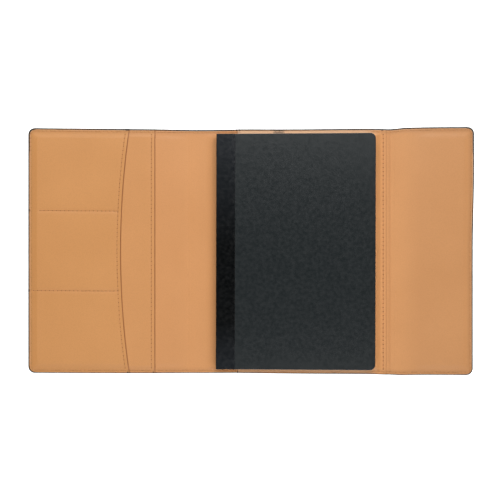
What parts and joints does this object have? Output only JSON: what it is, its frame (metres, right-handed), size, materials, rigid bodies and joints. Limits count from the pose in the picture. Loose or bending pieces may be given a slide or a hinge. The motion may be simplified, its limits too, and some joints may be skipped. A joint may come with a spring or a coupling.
{
  "type": "leather notebook cover",
  "caption": "Open tri-fold leather cover with card pockets, a long inner pocket, a gusset, a closing flap and a slip-in softcover notebook.",
  "frame": {"origin": "middle of the underside of the open cover, on the surface that it lies on", "axes": "+X from the free edge of the front panel to the free edge of the closing flap, +Y up the page, +Z away from the surface, out of the inside face"},
  "size_m": [0.4014, 0.2234, 0.016],
  "materials": {
    "black_leather": "smooth full-grain leather, satin, black",
    "tan_leather": "smooth vegetable-tanned leather, soft sheen, camel",
    "tan_thread": "waxed polyester thread, tone on tone",
    "greyboard": "matte",
    "steel": "plain",
    "magnet": "matte, flexible ferrite strip",
    "notebook_card": "fine-grained coated card, charcoal black",
    "spine_tape": "coarse bookbinding cloth, black",
    "paper": "uncoated, cream"
  },
  "bodies": {
    "back": {"outer_back": "black_leather", "lining_back": "tan_leather", "back_board": "greyboard", "back_sleeve": "tan_leather", "edge_stitches_back": "tan_thread", "back_mouth_stitches": "tan_thread", "back_seam_stitches": "tan_thread"},
    "spine": {"outer_spine": "black_leather", "lining_spine": "tan_leather", "edge_stitches_spine": "tan_thread"},
    "front": {"outer_front": "black_leather", "lining_front": "tan_leather", "front_board": "greyboard", "front_plate": "steel", "front_sleeve": "tan_leather", "card_pocket": "tan_leather", "edge_stitches_front": "tan_thread", "card_hem_stitches": "tan_thread", "card_divider_stitches": "tan_thread", "front_sleeve_stitches": "tan_thread"},
    "gusset": {"outer_gusset": "black_leather", "lining_gusset": "tan_leather", "edge_stitches_gusset": "tan_thread"},
    "flap": {"outer_flap": "black_leather", "lining_flap": "tan_leather", "flap_board": "greyboard", "flap_magnet": "magnet", "edge_stitches_flap": "tan_thread"},
    "notebook": {"notebook_back_cover": "notebook_card", "notebook_back_endpaper": "paper", "spine_cloth_back": "spine_tape", "spine_cloth": "spine_tape", "page_block": "paper"},
    "notebook_cover": {"notebook_front_cover": "notebook_card", "notebook_front_endpaper": "paper", "spine_cloth_front": "spine_tape"},
    "pages": {"turned_pages": "paper"}
  },
  "joints": [
    {"name": "spine_fold", "type": "hinge", "parent": "back", "child": "spine", "pos_m": [-0.03515, 0, 0.0005], "axis": [0, 1, 0], "range_deg": [0, 90]},
    {"name": "front_fold", "type": "hinge", "parent": "spine", "child": "front", "pos_m": [-0.05545, 0, 0.0005], "axis": [0, 1, 0], "range_deg": [0, 90]},
    {"name": "gusset_fold", "type": "hinge", "parent": "back", "child": "gusset", "pos_m": [0.12565, 0, 0.0005], "axis": [0, -1, 0], "range_deg": [0, 90]},
    {"name": "flap_fold", "type": "hinge", "parent": "gusset", "child": "flap", "pos_m": [0.14865, 0, 0.0005], "axis": [0, -1, 0], "range_deg": [0, 90]},
    {"name": "notebook_slide", "type": "slide", "parent": "back", "child": "notebook", "axis": [1, 0, 0], "range_m": [-0.125, 0]},
    {"name": "notebook_cover_hinge", "type": "hinge", "parent": "notebook", "child": "notebook_cover", "pos_m": [-0.03105, 0, 0.01525], "axis": [0, 1, 0], "range_deg": [-170, 0]},
    {"name": "page_turn", "type": "hinge", "parent": "notebook", "child": "pages", "pos_m": [-0.03105, 0, 0.01525], "axis": [0, 1, 0], "range_deg": [-161.5, 0]}
  ],
  "couplings": [
    {"joint": "page_turn", "follows": "notebook_cover_hinge", "ratio": 0.95}
  ]
}
